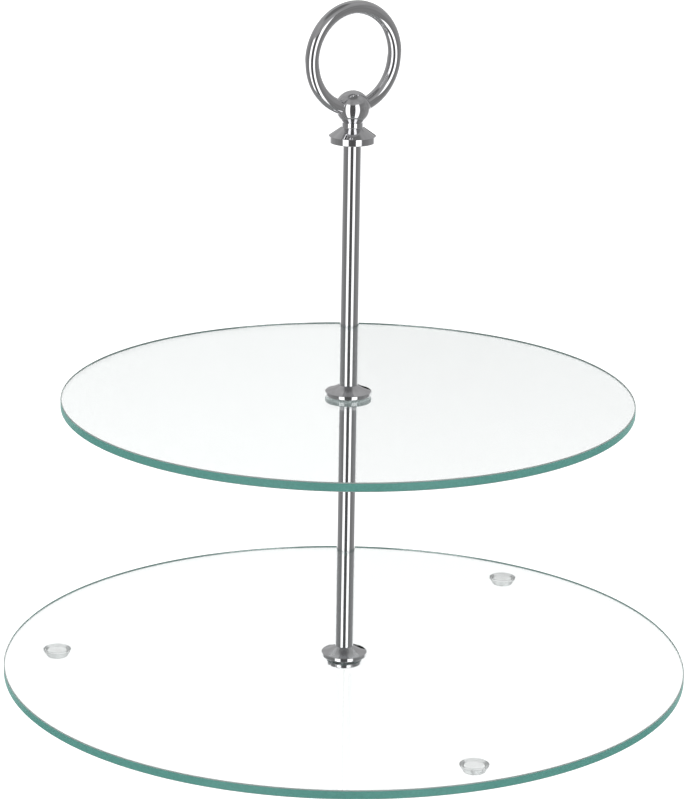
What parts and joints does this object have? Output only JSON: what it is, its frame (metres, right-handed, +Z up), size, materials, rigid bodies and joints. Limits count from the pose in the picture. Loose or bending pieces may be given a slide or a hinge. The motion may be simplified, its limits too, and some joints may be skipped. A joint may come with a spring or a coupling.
{
  "type": "tiered cake stand",
  "caption": "Two-tier cake stand: round clear glass plates on a screwed chrome centre rod with flared collars, a ball finial and a ring handle, on clear bumper feet.",
  "frame": {"origin": "on the centre rod's axis, on the surface that the feet stand on", "axes": "+Z up along the centre rod; the ring handle lies in the XZ plane"},
  "size_m": [0.3, 0.3, 0.2991],
  "materials": {
    "glass": "clear float glass with a ground, pale green edge",
    "chrome": "bright chrome plate",
    "plain_steel": "zinc-plated steel",
    "clear_bumper": "clear moulded polyurethane",
    "clear_vinyl": "clear soft vinyl",
    "adhesive": "clear acrylic adhesive film"
  },
  "bodies": {
    "base": {"lower_plate": "glass", "base_screw": "chrome", "lower_bush": "clear_vinyl", "foot_1": "clear_bumper", "foot_2": "clear_bumper", "foot_3": "clear_bumper", "foot_adhesive_1": "adhesive", "foot_adhesive_2": "adhesive", "foot_adhesive_3": "adhesive"},
    "lower_lift": {"lower_gasket": "clear_vinyl"},
    "lower_stem": {"lower_collar": "chrome", "lower_rod": "chrome", "lower_rod_foot_insert": "plain_steel", "lower_rod_head_insert": "plain_steel", "upper_bush": "clear_vinyl", "upper_plate": "glass"},
    "upper_lift": {"upper_gasket": "clear_vinyl"},
    "upper_stem": {"upper_collar": "chrome", "upper_rod": "chrome", "upper_rod_foot_insert": "plain_steel", "upper_rod_head_insert": "plain_steel", "joining_stud": "plain_steel"},
    "handle_lift": {"handle_washer": "plain_steel"},
    "handle": {"handle_stud": "plain_steel", "finial": "chrome", "ring_handle": "chrome"}
  },
  "joints": [
    {"name": "lower_rod_rise", "type": "slide", "parent": "base", "child": "lower_lift", "axis": [0, 0, 1], "range_m": [0, 0.008]},
    {"name": "lower_rod_turn", "type": "hinge", "parent": "lower_lift", "child": "lower_stem", "pos_m": [0, 0, 0.0125], "axis": [0, 0, 1], "range_deg": [0, 3600]},
    {"name": "upper_rod_rise", "type": "slide", "parent": "lower_stem", "child": "upper_lift", "axis": [0, 0, 1], "range_m": [0, 0.008]},
    {"name": "upper_rod_turn", "type": "hinge", "parent": "upper_lift", "child": "upper_stem", "pos_m": [0, 0, 0.1325], "axis": [0, 0, 1], "range_deg": [0, 3600]},
    {"name": "handle_rise", "type": "slide", "parent": "upper_stem", "child": "handle_lift", "axis": [0, 0, 1], "range_m": [0, 0.008]},
    {"name": "handle_turn", "type": "hinge", "parent": "handle_lift", "child": "handle", "pos_m": [0, 0, 0.2388], "axis": [0, 0, 1], "range_deg": [0, 3600]}
  ],
  "couplings": [
    {"joint": "lower_rod_rise", "follows": "lower_rod_turn", "m_per_rad": 0.00012732},
    {"joint": "upper_rod_rise", "follows": "upper_rod_turn", "m_per_rad": 0.00012732},
    {"joint": "handle_rise", "follows": "handle_turn", "m_per_rad": 0.00012732}
  ]
}
